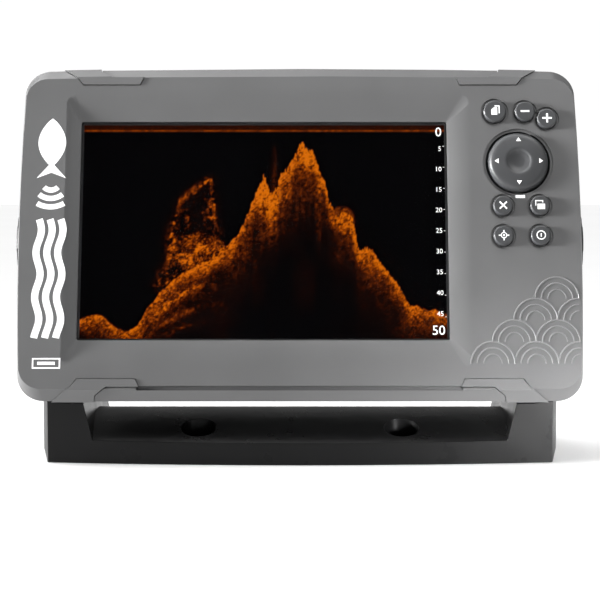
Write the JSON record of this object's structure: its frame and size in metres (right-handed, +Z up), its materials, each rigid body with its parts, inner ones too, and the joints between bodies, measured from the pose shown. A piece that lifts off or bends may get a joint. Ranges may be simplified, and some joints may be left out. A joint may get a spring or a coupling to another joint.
{
  "type": "fish finder",
  "caption": "Echo sounder display with a framed screen, side keypad and sealed rear housing, held by a low tilting bracket with clamp knobs.",
  "frame": {"origin": "centre of the bracket's screw pattern, on the bracket's underside", "axes": "+Z up, +X to the right of a user who faces the screen, -Y towards the user"},
  "size_m": [0.2408, 0.0857, 0.1649],
  "materials": {
    "case": "fine satin texture",
    "clips": "fine satin texture",
    "bracket": "semi gloss",
    "rear_case": "fine texture",
    "lens": "clear, anti glare",
    "screen": "lit",
    "backlight": "smooth",
    "keys": "silky moulded rubber",
    "mat": "moulded",
    "seal": "moulded",
    "circuit": "solder mask",
    "steel": "machined",
    "light_pipe": "clear moulded",
    "plate": "rolled sheet",
    "brass": "machined",
    "components": "moulded",
    "ribbon": "film",
    "connector": "moulded",
    "knobs": "overmoulded",
    "washer": "moulded"
  },
  "bodies": {
    "bracket": {"mounting_bracket": "bracket"},
    "display_unit": {"front_bezel": "case", "corner_clip_top_left": "clips", "corner_clip_top_right": "clips", "corner_clip_bottom_left": "clips", "corner_clip_bottom_right": "clips", "display_lens": "lens", "lens_gasket": "seal", "lcd_panel": "screen", "lcd_backlight": "backlight", "keypad_mat": "mat", "keypad_board": "circuit", "keypad_screws": "steel", "dome_switches": "steel", "status_light": "light_pipe", "rear_housing": "rear_case", "housing_seal": "seal", "housing_screws": "steel", "chassis_plate": "plate", "chassis_screws": "steel", "board_standoffs": "brass", "main_board": "circuit", "processor_shield": "plate", "board_components": "components", "gps_antenna": "components", "beeper": "components", "lcd_ribbon": "ribbon", "keypad_ribbon": "ribbon", "card_reader": "plate", "card_door_pin": "steel", "sonar_socket": "connector", "power_socket": "connector", "sonar_pins": "brass", "power_pins": "brass", "socket_nuts": "connector", "socket_seals": "seal", "vent_plug": "connector", "threaded_insert_left": "brass", "threaded_insert_right": "brass", "friction_washer_left": "washer", "friction_washer_right": "washer"},
    "left_knob": {"tilt_knob_left": "knobs", "knob_stud_left": "steel"},
    "right_knob": {"tilt_knob_right": "knobs", "knob_stud_right": "steel"},
    "pad_rocker": {"pad_pivot": "connector"},
    "cursor_rocker": {"cursor_pad": "keys"},
    "card_flap": {"card_door": "seal"},
    "page_key_cap": {"page_key": "keys"},
    "zoom_out_key_cap": {"zoom_out_key": "keys"},
    "zoom_in_key_cap": {"zoom_in_key": "keys"},
    "exit_key_cap": {"exit_key": "keys"},
    "menu_key_cap": {"menu_key": "keys"},
    "waypoint_key_cap": {"waypoint_key": "keys"},
    "power_key_cap": {"power_key": "keys"}
  },
  "joints": [
    {"name": "display_tilt", "type": "hinge", "parent": "bracket", "child": "display_unit", "pos_m": [0, 0, 0.089], "axis": [-1, 0, 0], "range_deg": [-3, 40]},
    {"name": "left_knob_turn", "type": "hinge", "parent": "display_unit", "child": "left_knob", "pos_m": [-0.114, 0, 0.089], "axis": [-1, 0, 0], "continuous": true},
    {"name": "right_knob_turn", "type": "hinge", "parent": "display_unit", "child": "right_knob", "pos_m": [0.114, 0, 0.089], "axis": [1, 0, 0], "continuous": true},
    {"name": "page_key_press", "type": "slide", "parent": "display_unit", "child": "page_key_cap", "axis": [0, 0.9659, -0.2588], "range_m": [0, 0.0006], "stiffness_N_per_m": 2500, "springref_m": -0.0003},
    {"name": "zoom_out_key_press", "type": "slide", "parent": "display_unit", "child": "zoom_out_key_cap", "axis": [0, 0.9659, -0.2588], "range_m": [0, 0.0006], "stiffness_N_per_m": 2500, "springref_m": -0.0003},
    {"name": "zoom_in_key_press", "type": "slide", "parent": "display_unit", "child": "zoom_in_key_cap", "axis": [0, 0.9659, -0.2588], "range_m": [0, 0.0006], "stiffness_N_per_m": 2500, "springref_m": -0.0003},
    {"name": "exit_key_press", "type": "slide", "parent": "display_unit", "child": "exit_key_cap", "axis": [0, 0.9659, -0.2588], "range_m": [0, 0.0006], "stiffness_N_per_m": 2500, "springref_m": -0.0003},
    {"name": "menu_key_press", "type": "slide", "parent": "display_unit", "child": "menu_key_cap", "axis": [0, 0.9659, -0.2588], "range_m": [0, 0.0006], "stiffness_N_per_m": 2500, "springref_m": -0.0003},
    {"name": "waypoint_key_press", "type": "slide", "parent": "display_unit", "child": "waypoint_key_cap", "axis": [0, 0.9659, -0.2588], "range_m": [0, 0.0006], "stiffness_N_per_m": 2500, "springref_m": -0.0003},
    {"name": "power_key_press", "type": "slide", "parent": "display_unit", "child": "power_key_cap", "axis": [0, 0.9659, -0.2588], "range_m": [0, 0.0006], "stiffness_N_per_m": 2500, "springref_m": -0.0003},
    {"name": "pad_up_down", "type": "hinge", "parent": "display_unit", "child": "pad_rocker", "pos_m": [0.0914, -0.01644, 0.12384], "axis": [1, 0, 0], "range_deg": [-3, 3], "stiffness_Nm_per_rad": 0.5},
    {"name": "pad_left_right", "type": "hinge", "parent": "pad_rocker", "child": "cursor_rocker", "pos_m": [0.0914, -0.01644, 0.12384], "axis": [0, 0.2588, 0.9659], "range_deg": [-3, 3], "stiffness_Nm_per_rad": 0.5},
    {"name": "card_door_open", "type": "hinge", "parent": "display_unit", "child": "card_flap", "pos_m": [0.054, 0.03329, 0.10389], "axis": [1, 0, 0], "range_deg": [0, 100]}
  ]
}
